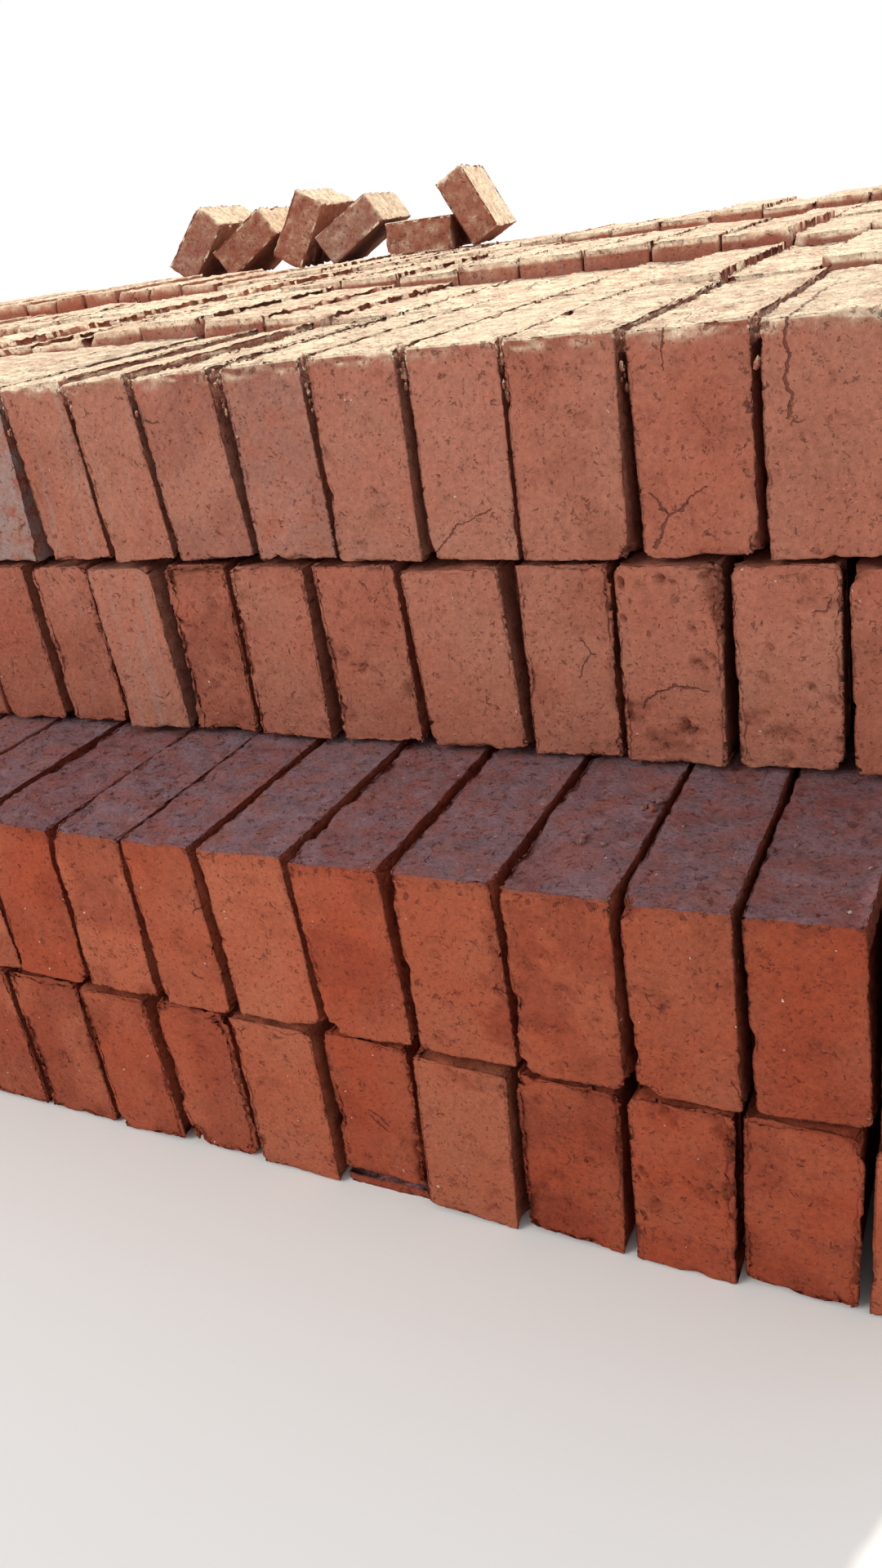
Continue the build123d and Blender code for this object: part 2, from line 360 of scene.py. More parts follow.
def wear_down(grid, wear):
    """Moves the points of a grid as wear would, and returns for each one its wear_and_joint_shade and its
    dust_and_light_mark, which carry painted shade on the joint sides and painted light.
    """
    brick, half = wear.brick, wear.half
    wear_and_joint_shade, dust_and_light_mark = [], []
    for vert in grid.verts:
        p = vert.co.copy()
        q = p + wear.away
        waves = (
            noise.noise(q * LARGE), noise.noise(q * MEDIUM),
            noise.noise(q * SMALL), abs(noise.noise(q * TINY)))
        behind = smooth(3.0, 26.0, half.y - abs(p.y)) if wear.topped else 0.0
        right = p.x > 0
        side, face, bed, patch = sinks(wear, p, q, waves, behind)
        sink(wear, p, side, face, bed)
        p, rounding_and_joint_shade = round_off(wear, p, q, waves, behind, right)
        if wear.burr and p.z > half.z - FLASH_DEPTH:
            raise_flash(wear, p, q, waves[2], waves[3])
        if brick.slant is not None:
            lift = (brick.slant - brick.centre.z) / MM - p.dot(brick.axes.transposed()[2])
            p.z += max(0.0, lift) + 0.3 * (lift > 0)
        vert.co = p
        # On the top rows the wear is cut to 0.3, so the shaded sides of the flash are painted lighter, as if
        # sunlit.
        wear_and_joint_shade.append(min(1.0, 0.8 * rounding_and_joint_shade + 0.5 * patch) * (0.3 if wear.only_top else 1.0))
        # Dust with painted light near the top, or all over a loose brick.
        near_top = smooth(half.z - DUST_AND_LIGHT_DEPTH, half.z - FULL_DUST_AND_LIGHT, p.z) * wear.topped
        dust_and_light_mark.append(1.0 if wear.everywhere else near_top)
    return wear_and_joint_shade, dust_and_light_mark


# %% [markdown]
# A row is one piece: its bricks are made one after the other, turned and moved to their places, and joined.
# Each brick carries its own numbers in colour attributes, which the finish reads: its tone and warmth, how
# worn the clay is at each point, together with painted shade on the sides in the joints, how grey the weather
# has made it, how strongly it was struck off, and how much dust with painted light it takes.

# %% Build a row
class Row:
    """A piece that gathers bricks with their wear into one mesh, with the marks that their finish reads."""

    def __init__(self):
        self.mesh = bmesh.new()
        # Marks: tone, warmth, and wear with painted shade on the joint sides. Strokes: grey, strokes, and
        # dust with painted light.
        self.marks = []  # tone, warmth and worn, for each point
        self.strokes = []  # grey, strokes and dusted, for each point

    def take(self, shape, marks, strokes):
        """Joins one finished shape to the row, with the marks of its points."""
        one = bpy.data.meshes.new("one shape")
        shape.to_mesh(one)
        shape.free()
        self.mesh.from_mesh(one)
        bpy.data.meshes.remove(one)
        self.marks += marks
        self.strokes += strokes

    def add(self, brick, seed, cuts, open_faces, look=None, burr=0.0):
        """Makes one brick with its wear where the given brick stands."""
        draw = random.Random(seed * 7 + 3)
        own = {
            "tone": draw.uniform(0.25, 0.75),
            "warmth": draw.random(),
            "grey": max(0.0, draw.uniform(-1.0, 0.5)),
            "rough": draw.choice((0.05, 0.1, 0.2, 0.4, 0.8)),
            "ragged": draw.uniform(0.8, 1.5),
            "strokes": max(0.0, draw.uniform(-1.0, 0.7)),
            "scars": (),
        }
        own.update(look or {})
        grid = brick_grid(brick, cuts, open_faces)
        half = brick.half / MM
        for group in hidden_faces(grid, half, open_faces):
            for face in bmesh.ops.dissolve_faces(grid, faces=group, use_verts=False)["region"]:
                face.tag = True
        wear_and_joint_shade, dust_and_light_mark = wear_down(grid, Wear(brick, seed, own, burr, open_faces))
        for face in grid.faces:
            face.smooth = not face.tag
        place = Matrix.Translation(brick.centre) @ brick.axes.transposed().to_4x4() @ Matrix.Scale(MM, 4)
        bmesh.ops.transform(grid, matrix=place, verts=grid.verts)
        for vert in grid.verts:
            vert.co.z = max(vert.co.z, 0.0)  # nothing goes below the ground
        bmesh.ops.recalc_face_normals(grid, faces=grid.faces)
        marks = [(own["tone"], own["warmth"], value, 1.0) for value in wear_and_joint_shade]
        self.take(grid, marks, [(own["grey"], own["strokes"], value, 1.0) for value in dust_and_light_mark])

    def finish(self, name, material, nodes, slot):
        """Turns the row into a piece that stands for its nodes."""
        mesh = bpy.data.meshes.new(name)
        self.mesh.to_mesh(mesh)
        self.mesh.free()
        for attribute, values in (("marks", self.marks), ("strokes", self.strokes)):
            layer = mesh.attributes.new(attribute, "FLOAT_COLOR", "POINT")
            layer.data.foreach_set("color", [value for mark in values for value in mark])
        piece = bpy.data.objects.new(name, mesh)
        bpy.context.scene.collection.objects.link(piece)
        mesh.materials.append(material)
        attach(piece, "root")
        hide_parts(*nodes)
        mesh.calc_loop_triangles()
        print(name, len(mesh.loop_triangles), "triangles")


# %% [markdown]
# ## The finish of fired clay
# Low-fired clay is matt and sandy. Its colour wanders from tan to brick red from one brick to the next, with
# dark pits, pale grit, hair cracks, dust on what faces up, with painted sunlight and painted shade mixed into
# it, and crumbled places along the arrises, whose dark colour also paints the shade in the joints. All of it
# is noise on Object coordinates, shifted by each brick's own tone so that no pattern runs on from one brick
# into the next. The relief that is too fine for the mesh goes through a Bump node. The sums are written as
# Python: a small class wraps a socket, and its operators add the Math nodes.

# %% Shader sums as Python
class Value:
    """A number or colour in a material: Python's operators on it add the nodes that work it out."""

    def __init__(self, finish, socket):
        self.finish = finish
        self.socket = socket

    def maths(self, operation, first, second, clamp=False):
        settings = {"operation": operation, "use_clamp": clamp}
        return self.finish.node("ShaderNodeMath", settings, {0: first, 1: second})

    def __add__(self, other):
        return self.maths("ADD", self, other)

    def __radd__(self, other):
        return self.maths("ADD", other, self)

    def __sub__(self, other):
        return self.maths("SUBTRACT", self, other)

    def __rsub__(self, other):
        return self.maths("SUBTRACT", other, self)

    def __mul__(self, other):
        return self.maths("MULTIPLY", self, other)

    def __rmul__(self, other):
        return self.maths("MULTIPLY", other, self)

    def limited(self):
        """The same number, kept between 0 and 1."""
        return self.maths("ADD", self, 0.0, clamp=True)

    def between(self, low, high):
        """0 at low, 1 at high, and an even rise between them. High may be the lower number."""
        ends = {"From Min": min(low, high), "From Max": max(low, high)}
        settings = {"interpolation_type": "SMOOTHSTEP"}
        rise = self.finish.node("ShaderNodeMapRange", settings, {"Value": self, **ends})
        return 1 - rise if low > high else rise


class Finish:
    """One material and the ways to add nodes to it."""

    def __init__(self, name):
        self.material = bpy.data.materials.new(name)
        self.material.use_nodes = True
        self.tree = self.material.node_tree
        self.tree.nodes.clear()

    def node(self, kind, settings=None, inputs=None, output=0):
        """Adds a node: its settings first, then the values or links of its sockets. Gives one output."""
        node = self.tree.nodes.new(kind)
        for name, value in (settings or {}).items():
            setattr(node, name, value)
        for name, value in (inputs or {}).items():
            if isinstance(value, Value):
                self.tree.links.new(value.socket, node.inputs[name])
            else:
                node.inputs[name].default_value = value
        return Value(self, node.outputs[output]) if len(node.outputs) else None

    def mix(self, factor, first, second, blend="MIX"):
        """A colour between two colours."""
        settings = {"data_type": "RGBA", "blend_type": blend}
        return self.node("ShaderNodeMix", settings, {0: factor, 6: first, 7: second}, 2)

    def vector(self, operation, first, second, output=0):
        """Vector Math on two vectors."""
        return self.node("ShaderNodeVectorMath", {"operation": operation}, {0: first, 1: second}, output)

    def noise(self, place, scale, detail=3.0, roughness=0.55, output=0):
        """Perlin noise, about 0 to 1."""
        inputs = {"Vector": place, "Scale": scale, "Detail": detail, "Roughness": roughness}
        return self.node("ShaderNodeTexNoise", None, inputs, output)

    def grey_of(self, value):
        """A colour with the same number in its red, green and blue."""
        return self.node("ShaderNodeCombineColor", None, {"Red": value, "Green": value, "Blue": value})

    def scaled(self, vector, size):
        """A vector times a number."""
        return self.node("ShaderNodeVectorMath", {"operation": "SCALE"}, {0: vector, "Scale": size})

    def cells(self, place, scale, feature="F1", output="Distance"):
        """Cells about scattered points: how far the nearest point or cell edge is."""
        inputs = {"Vector": place, "Scale": scale}
        return self.node("ShaderNodeTexVoronoi", {"feature": feature}, inputs, output)

    def parts_of(self, colour):
        """The red, green and blue of a colour, each as a number."""
        split = self.node("ShaderNodeSeparateColor", None, {"Color": colour}).socket.node
        return [Value(self, split.outputs[i]) for i in range(3)]

    def near_line(self, place, start, end, width):
        """1 on the line between two points (x and z, in metres), 0 past its width: one crack or groove."""
        flat = 0.004  # depth hardly counts, so that a crack follows the worn face
        start, end = [Vector((point[0], flat * UPPER_FRONT, point[1])) for point in (start, end)]
        along = end - start
        reach = self.vector("SUBTRACT", self.vector("MULTIPLY", place, (1.0, flat, 1.0)), start)
        share = self.vector("DOT_PRODUCT", reach, along / along.length_squared, "Value").limited()
        return self.vector("DISTANCE", reach, self.scaled(along, share), "Value").between(width, width * 0.35)


def colour(red, green, blue):
    """A colour given as it looks on a screen (0 to 255), as the linear values that shaders take."""
    shares = [channel / 255 for channel in (red, green, blue)]
    linear = [share / 12.92 if share <= 10 / 255 else ((share + 0.055) / 1.055) ** 2.4 for share in shares]
    return (*linear, 1.0)


print("a brick red is", [round(value, 3) for value in colour(184, 82, 46)])

# %% [markdown]
# The clay reads two colour attributes. From these and from noise it mixes its body colour, with crumbled clay
# at worn arrises and painted shade on the broad sides in the joints, then the light and dark of its grain,
# then dust where the surface faces up, with painted light in it, and last the pits, cracks and pale grit.
# The same noise drives the relief, so that what looks dark is also deep.

# %% The clay itself
def fired_clay(name, tan, red, dark, crumbled_and_joint_shade, dust_and_painted_light, dust_and_light_amount, dust_and_light_slope, weathered, lines=()):
    """Clay with its own tan, red and dark colours, and its crumbled_and_joint_shade and
    dust_and_painted_light colours, which carry painted shade and painted light besides real crumbling and
    dusting. Lines are single cracks.
    """
    clay = Finish(name)
    tone, warmth, wear_and_joint_shade = clay.parts_of(clay.node("ShaderNodeAttribute", {"attribute_name": "marks"}))
    grey, strokes, dust_and_light_mark = clay.parts_of(clay.node("ShaderNodeAttribute", {"attribute_name": "strokes"}))
    real_place = clay.node("ShaderNodeTexCoord", output="Object")
    own = clay.node("ShaderNodeCombineXYZ", None, {"X": tone * 17.0, "Y": warmth * 23.0, "Z": tone * 31.0})
    place = clay.vector("ADD", real_place, own)
    wobble = clay.vector("SUBTRACT", clay.noise(place, 90.0, 4.0, 0.6, "Color"), (0.5, 0.5, 0.5))
    bent = clay.vector("ADD", place, clay.scaled(wobble, 0.012))

    clouds = clay.noise(place, 14.0, 3.0)
    mottle = clay.noise(place, 55.0, 5.0, 0.65)
    speckle = clay.noise(place, 300.0, 3.0, 0.7)
    sand = clay.noise(place, 900.0, 2.0, 0.6)
    pits = (clay.noise(bent, 150.0, 3.0, 0.65) + 0.05 * dust_and_light_mark).between(0.64, 0.71)
    small_pits = clay.noise(bent, 340.0, 2.0, 0.6).between(0.62, 0.70)
    light_grains = clay.noise(place, 380.0, 2.0, 0.6).between(0.64, 0.72)
    grit_size = clay.parts_of(clay.cells(place, 210.0, output="Color"))[0]
    pale_grit = clay.cells(bent, 210.0).between(0.22, 0.12) * grit_size.between(0.020, 0.015)
    hair = clay.cells(bent, 26.0, "DISTANCE_TO_EDGE").between(0.018, 0.006)
    cracks = hair * clay.noise(place, 24.0, 1.0).between(0.70, 0.73)
    scabs = clay.noise(place, 85.0, 6.0, 0.72).between(0.62, 0.70)
    drawn = clay.vector("MULTIPLY", place, (1.0, 1.0, 0.05))
    streaks = clay.noise(drawn, 150.0, 3.0, 0.6)
    wandering = clay.vector("ADD", real_place, clay.scaled(wobble, 0.011))
    for start, end, width in lines:
        cracks = cracks + clay.near_line(wandering, start, end, width)
    cracks = cracks.limited()

    body = clay.mix((warmth * 0.75 + clouds.between(0.30, 0.70) * 0.5 - 0.12).limited(), tan, red)
    body = clay.mix(mottle.between(0.50, 0.78) * 0.35, body, dark)
    # Crumbled clay at worn arrises; the same colour darkens the broad sides as painted shade in the joints.
    body = clay.mix((wear_and_joint_shade * (0.45 + 0.6 * mottle)).limited(), body, crumbled_and_joint_shade)
    body = clay.mix((grey * mottle.between(0.32, 0.55)).limited() * 0.75, body, weathered)
    body = clay.mix((strokes * streaks.between(0.50, 0.70)).limited() * 0.35, body, weathered)
    shade = (
        0.75 + 0.36 * tone + 0.80 * (speckle - 0.5) + 0.30 * (sand - 0.5) + 0.20 * (clouds - 0.5)
        + 0.16 * light_grains)
    body = clay.mix(1.0, body, clay.grey_of(shade), "MULTIPLY")
    normal = clay.node("ShaderNodeNewGeometry", output="Normal")
    up = clay.node("ShaderNodeSeparateXYZ", None, {"Vector": normal}, "Z")
    patchy = 0.55 + 0.45 * clay.noise(place, 45.0, 5.0, 0.75).between(0.40, 0.58)
    # Where the surface faces up, dust with painted light in it: on the upper clay its cream paints sunlight
    # on the top and on the sides of the flash, and on the lower clay its mauve-grey paints the cool tint of
    # skylit shade.
    dust_and_light_cover = dust_and_light_mark * (up + 0.6 * (mottle - 0.5)).between(*dust_and_light_slope) * patchy * (1.1 - 0.25 * warmth)
    dust_and_light_variation = 0.90 + 1.3 * (speckle - 0.5) + 1.3 * (mottle - 0.5) + 0.3 * tone
    varied_dust_and_light = clay.mix(1.0, dust_and_painted_light, clay.grey_of(dust_and_light_variation), "MULTIPLY")
    body = clay.mix((dust_and_light_cover * dust_and_light_amount).limited(), body, varied_dust_and_light)
    body = clay.mix((scabs * 0.25 + pits * 0.6 + small_pits * 0.5 + cracks * 0.85).limited(), body, dark)
    body = clay.mix(pale_grit * 0.7, body, colour(222, 200, 182))

    height = (
        1.6 * mottle + (1.0 + 1.3 * dust_and_light_mark) * clay.noise(place, 200.0, 5.0, 0.75)
        + 0.45 * speckle + 0.18 * sand + 0.9 * strokes * streaks
        - 1.1 * pits - 0.5 * small_pits - 1.4 * cracks - 0.5 * scabs + 0.4 * pale_grit
    )
    bump = clay.node("ShaderNodeBump", None, {"Strength": 1.0, "Distance": MM, "Height": height}, "Normal")
    roughness = 0.84 + 0.14 * mottle
    inputs = {"Base Color": body, "Roughness": roughness, "Normal": bump, "Specular IOR Level": 0.2}
    surface = clay.node("ShaderNodeBsdfPrincipled", None, inputs)
    clay.node("ShaderNodeOutputMaterial", None, {"Surface": surface})
    return clay.material


# %% [markdown]
# The lower courses are redder and their dust is mauve-grey, with the cool tint of the ledge's shade painted
# in. The upper ones are paler, with cream dust on the top that is pale enough to paint the sunlight on it and
# on the sides of the flash. Each crack that stands out on a known brick is drawn as a chain of straight
# pieces, which the
# noise bends: its two ends as x and z in metres, and its width.

# %% Two clays
CRACK_SCALE = 0.7
CRACKS = [
    ((1.1232, 0.4340), (1.1344, 0.4550), 1.7), ((1.1344, 0.4550), (1.1465, 0.4648), 1.5),
    ((1.1465, 0.4648), (1.1577, 0.4729), 1.0), ((1.1344, 0.4550), (1.1279, 0.4602), 1.4),
    ((1.1279, 0.4602), (1.1222, 0.4690), 0.9), ((1.1349, 0.5680), (1.1340, 0.5420), 0.8),
    ((1.2046, 0.5700), (1.2067, 0.5100), 1.6), ((0.9688, 0.4311), (0.9888, 0.4506), 0.9),
    ((0.9888, 0.4506), (1.0140, 0.4611), 0.8), ((1.1095, 0.3245), (1.1185, 0.3368), 1.0),
    ((1.1185, 0.3368), (1.1326, 0.3433), 1.2), ((1.1326, 0.3433), (1.1560, 0.3397), 1.0),
]
lower_clay = fired_clay(
    "lower fired clay", tan=colour(164, 92, 66), red=colour(154, 68, 42), dark=colour(88, 36, 26),
    # Mauve-grey dust: real dust with the cool tint of skylit shade painted in. The crumbled colour is dark
    # enough to paint shade in the joints.
    crumbled_and_joint_shade=colour(112, 44, 30), dust_and_painted_light=colour(126, 98, 103), dust_and_light_amount=1.0, dust_and_light_slope=(0.5, 0.95),
    weathered=colour(150, 118, 108))
upper_clay = fired_clay(
    "upper fired clay", tan=colour(164, 106, 86), red=colour(156, 84, 64), dark=colour(98, 52, 42),
    # Cream dust: real dust made pale enough to paint sunlight on the top, and spread by its slope onto the
    # sides of the flash as painted sunlight.
    crumbled_and_joint_shade=colour(130, 70, 54), dust_and_painted_light=colour(232, 208, 178), dust_and_light_amount=1.05, dust_and_light_slope=(-0.1, 0.45),
    weathered=colour(150, 132, 126),
    lines=[(start, end, CRACK_SCALE * width * MM) for start, end, width in CRACKS])
print("finishes", lower_clay.name, "and", upper_clay.name)

# %% [markdown]
# ## The front rows
# Each brick of the stretch that is known is given its own look: tone, warmth (tan to red), how rough and
# ragged it is, how grey, and how strongly the striking stick has drawn over its end. The others draw theirs.
# A scar is a shallow hollow in the end: its x and z from the middle, its width, height and depth, all in mm.

# %% The looks that are known
KNOWN_FROM = 26
KNOWN_LOOKS = {
    1: [
        {"tone": 0.6, "warmth": 0.4}, {"tone": 0.5, "warmth": 0.6, "ragged": 1.6},
        {"tone": 0.5, "warmth": 0.7},
        {"tone": 0.7, "warmth": 0.55, "ragged": 1.8}, {"tone": 0.6, "warmth": 0.2, "rough": 0.1},
        {"tone": 0.45, "warmth": 0.95, "ragged": 1.8, "rough": 0.3},
        {"tone": 0.45, "warmth": 0.0, "ragged": 0.9, "scars": [(-2, 55, 5, 4, 2.0)]},
        {"tone": 0.25, "warmth": 1.0, "rough": 0.8, "scars": [(-20, -45, 16, 22, 2.5)]},
        {"tone": 0.4, "warmth": 0.95, "rough": 0.3, "scars": [(28, 52, 8, 12, 3.5)]},
        {"tone": 0.3, "warmth": 1.0, "rough": 0.4}, {},
    ],
    2: [
        {}, {"tone": 0.5, "warmth": 1.0, "rough": 0.4}, {"tone": 0.75, "warmth": 0.2},
        {"tone": 0.55, "warmth": 0.6},
        {"tone": 0.68, "warmth": 0.2, "rough": 0.1}, {"tone": 0.53, "warmth": 0.85, "ragged": 1.6},
        {"tone": 0.45, "warmth": 0.5, "rough": 0.05, "scars": [(32, 0, 6, 64, 2.0)]},
        {"tone": 0.45, "warmth": 0.7, "rough": 0.5, "ragged": 1.6, "scars": [(-22, 25, 14, 45, 1.5)]},
        {"tone": 0.18, "warmth": 0.65, "rough": 0.2}, {"tone": 0.05, "warmth": 0.95, "rough": 0.3},
        {"tone": 0.2},
    ],
    3: [
        {"tone": 0.4}, {"tone": 0.5, "warmth": 0.5, "strokes": 0.3},
        {"tone": 0.72, "warmth": 0.1, "grey": 0.05, "strokes": 0.8, "rough": 0.05},
        {"tone": 0.45, "warmth": 0.8, "rough": 0.6, "ragged": 1.6,
         "scars": [(2, 62, 26, 18, 2.0), (-34, 0, 7, 50, 3.0)]},
        {"tone": 0.58, "warmth": 0.35, "scars": [(-36, 10, 7, 60, 2.5)]},
        {"tone": 0.55, "warmth": 0.4, "rough": 0.2, "scars": [(-38, 0, 7, 66, 2.5), (-25, -51, 8, 8, 1.5)]},
        {"tone": 0.62, "warmth": 0.15, "rough": 0.05}, {"tone": 0.62, "warmth": 0.3},
        {"tone": 0.6, "warmth": 0.3, "ragged": 1.1,
         "scars": [(32, 54, 9, 18, 6.0), (0, -60, 16, 11, 2.2), (-26, -30, 9, 9, 3.0)]},
        {"tone": 0.64, "warmth": 0.05, "rough": 0.2, "scars": [(18, 44, 14, 8, 2.0), (-12, -46, 15, 8, 2.2)]},
        {"tone": 0.5, "warmth": 0.6},
    ],
    4: [
        {"tone": 0.4, "grey": 1.0}, {"tone": 0.5, "warmth": 0.0, "strokes": 0.8},
        {"tone": 0.5, "warmth": 0.0, "strokes": 0.5}, {"tone": 0.5, "warmth": 0.15, "grey": 0.15},
        {"tone": 0.5, "warmth": 0.2, "grey": 0.25, "scars": [(-10, 45, 7, 5, 1.2)]},
        {"tone": 0.47, "warmth": 0.1, "grey": 0.1, "scars": [(6, -36, 5, 6, 2.0)]},
        {"tone": 0.56, "warmth": 0.0, "grey": 0.1, "rough": 0.05},
        {"tone": 0.46, "warmth": 0.15, "rough": 0.4, "scars": [(-4, 48, 6, 4, 1.5), (11, 21, 9, 5, 0.8)]},
        {"tone": 0.5, "warmth": 0.5, "rough": 0.3, "scars": [(14, 6, 4, 8, 1.5)]},
        {"tone": 0.35, "warmth": 0.1, "rough": 0.2}, {"tone": 0.4},
    ],
}
print(sum(len(looks) for looks in KNOWN_LOOKS.values()), "known looks")

# %% [markdown]
# Crumbs of clay lie on the ledge, and shreds hang in the tops of the joints; the cream dust on the shreds
# paints them light, as if sunlight fell into the joints. Each is a small lump, made from an icosphere whose
# points are moved in and out, and it goes into the mesh of its row.

# %% Crumbs and shreds
# Two small heaps of crumbs: x and y, how far they spread (metres), the sizes from and to (mm), how many
HEAPED_CRUMBS = [(1.1275, -1.0215, 0.008, 0.008, 1.5, 3.4, 11), (1.1027, -1.079, 0.006, 0.005, 2.0, 4.6, 3)]
STRAY_CRUMBS = 110


def add_crumb(row, draw, spot, size, height, dust_and_light_mark, grey):
    """One small lump of clay."""
    lump = bmesh.new()
    bmesh.ops.create_icosphere(lump, subdivisions=1, radius=size * MM)
    for vert in lump.verts:
        vert.co *= draw.uniform(0.7, 1.2)
    place = Matrix.Translation(spot) @ Matrix.Diagonal((1, 1, height, 1))
    bmesh.ops.transform(lump, matrix=place, verts=lump.verts)
    marks = [(draw.uniform(0.1, 0.6), 0.3, 0.2, 1.0)] * len(lump.verts)
    row.take(lump, marks, [(draw.uniform(0.5, 1.0) * grey, 0.0, dust_and_light_mark, 1.0)] * len(lump.verts))


def add_shreds(row, bricks):
    """Shreds of clay that hang in the tops of the joints between neighbours."""
    draw = random.Random(41)
    for left, right in zip(bricks, bricks[1:]):
        for _ in range(draw.choice((10, 16, 24))):
            drop = 2 * MM + draw.random() ** 2 * 34 * MM
            sides = [
                brick.centre + brick.axes[0] * side * brick.half.x - brick.axes[1] * brick.half.y
                + brick.axes[2] * (brick.half.z - drop) for brick, side in ((left, 1), (right, -1))]
            aside = Vector((draw.gauss(0, 1.2), draw.uniform(2.0, 8.0), 0)) * MM
            # The shreds' cream dust paints them light, as if sunlight fell into the joints.
            size, height, dust_and_light_mark = draw.uniform(0.7, 1.8), draw.uniform(1.2, 2.8), draw.uniform(0.3, 0.9)
            add_crumb(row, draw, (sides[0] + sides[1]) / 2 + aside, size, height, dust_and_light_mark, 0.0)


def add_grit(row):
    """Crumbs of clay that lie on the ledge: small lumps, sunk a little into the surface under them."""
    draw = random.Random(40)
    ledge = BVHTree.FromBMesh(row.mesh)
    above, lowest = 0.35, 0.27  # where the rays start, and the lowest ground for a crumb
    spots = []
    for x, y, spread_x, spread_y, small, big, number in HEAPED_CRUMBS:
        for _ in range(number):
            spots.append((x + draw.gauss(0, spread_x), y + draw.gauss(0, spread_y), draw.uniform(small, big)))
    for _ in range(STRAY_CRUMBS):
        spots.append((draw.uniform(0.3, 1.3), draw.triangular(-1.12, -0.97, -0.98), draw.uniform(0.6, 2.0)))
    for x, y, size in spots:
        found = ledge.ray_cast(Vector((x, y, above)), Vector((0, 0, -1)))
        if found[0] is None or found[0].z < lowest:
            continue
        add_crumb(row, draw, found[0] + Vector((0, 0, 0.4 * size * MM)), size, 0.8, 1.0, 1.0)


print(STRAY_CRUMBS + sum(heap[-1] for heap in HEAPED_CRUMBS), "crumbs are thrown at the ledge")

# %% [markdown]
# Near the camera each brick gets a grid of about three millimetres, and further along a coarser one.
# Courses 2 and 4 also show their tops: the ledge, and the first row of the top.

# %% Front rows
FLASH = {"front": 0.7, "top": 2.3, "back": 2.0}  # how far it stands up, in millimetres
LOWER_COURSES = 2  # the top of the second one is the ledge


def clay_of(course):
    """The finish of a course and the slot that it goes by."""
    return (lower_clay, "lower_brick") if course <= LOWER_COURSES else (upper_clay, "upper_brick")


for course in range(1, COURSES + 1):
    node = f"course_{course}_front_row"
    row = Row()
    topped = course in TOPPED_COURSES
    bricks = bricks_in(node)
    for number, brick in enumerate(bricks):
        if number >= KNOWN_FROM:
            cuts = (24, 56 if topped else 12, 46)
            look = {"grey": 0.0, "strokes": 0.0, "ragged": 1.2, **KNOWN_LOOKS[course][number - KNOWN_FROM]}
        else:
            cuts = (8, 20 if topped else 5, 14)
            look = {}
        faces = ("front", "top") if topped else ("front",)
        faces += ("left",) if number == 0 else ("right",) if number == BRICKS_IN_A_ROW - 1 else ()
        burr = FLASH["front"] if course == COURSES else 0.0
        row.add(brick, course * 1000 + number, cuts, faces, look, burr)
    if course == LOWER_COURSES:
        add_grit(row)
    if course == COURSES:
        add_shreds(row, bricks[KNOWN_FROM - 6:])
    clay, slot = clay_of(course)
    row.finish(f"front_bricks_{course}", clay, [node], slot)

# %% [markdown]
# ## The rest of the top, the back and the ends
# The top is seen at a low angle, with the ragged flash of clay standing up along its joints. Rows that face
# away from the camera get coarser grids. Every brick has its own seed, so a row can be changed alone.

# %% Top, back and end rows
LOOSE_BEHIND, LOOSE_FROM, LOOSE_TO = 0.4, -0.65, 0.55  # the loose bricks lie past this y, between these x


def under_loose(brick):
    """Whether loose bricks may lie on this one: then nothing stands up from its top."""
    return brick.centre.y > LOOSE_BEHIND and LOOSE_FROM < brick.centre.x < LOOSE_TO


for number in range(2, 7):
    node = f"course_4_row_{number}"
    row = Row()
    for place, brick in enumerate(bricks_in(node)):
        cuts = (12, 56, 8) if brick.centre.x > 0.1 else (8, 30, 6)
        burr = 0.0 if under_loose(brick) else FLASH["top"]
        # A high tone paints the shaded sides and steps of the top rows lighter, as if sunlit.
        look = {"ragged": 0.5, "tone": 0.95, "grey": 0.0}
        row.add(brick, 5000 + number * 100 + place, cuts, TOP_ONLY, look, burr)
    row.finish(f"top_bricks_{number}", upper_clay, [node], "upper_brick")

for course in range(1, COURSES + 1):
    node = f"course_{course}_back_row"
    topped = course in TOPPED_COURSES
    row = Row()
    for place, brick in enumerate(bricks_in(node)):
        cuts = (7, 20 if topped else 5, 12)
        faces = ("back", "top") if topped else ("back",)
        burr = FLASH["back"] if course == COURSES and not under_loose(brick) else 0.0
        row.add(brick, 6000 + course * 100 + place, cuts, faces, burr=burr)
    clay, slot = clay_of(course)
    row.finish(f"back_bricks_{course}", clay, [node], slot)

for course in range(1, COURSES):
    for side in ("left", "right"):
        node = f"course_{course}_{side}_end"
        row = Row()
        for place, brick in enumerate(sorted(bricks_in(node), key=lambda brick: brick.centre.y)):
            row.add(brick, 7000 + course * 100 + place + 50 * (side == "left"), (4, 26, 14), (side,))
        clay, slot = clay_of(course)
        row.finish(f"{side}_end_bricks_{course}", clay, [node], slot)

# %% [markdown]
# The loose bricks show all their sides, so their grids are even and nothing on them is dissolved. The slice
# under the snapped brick is thin and barely ragged. The cores are plain blocks inside: they only take the
# clay.

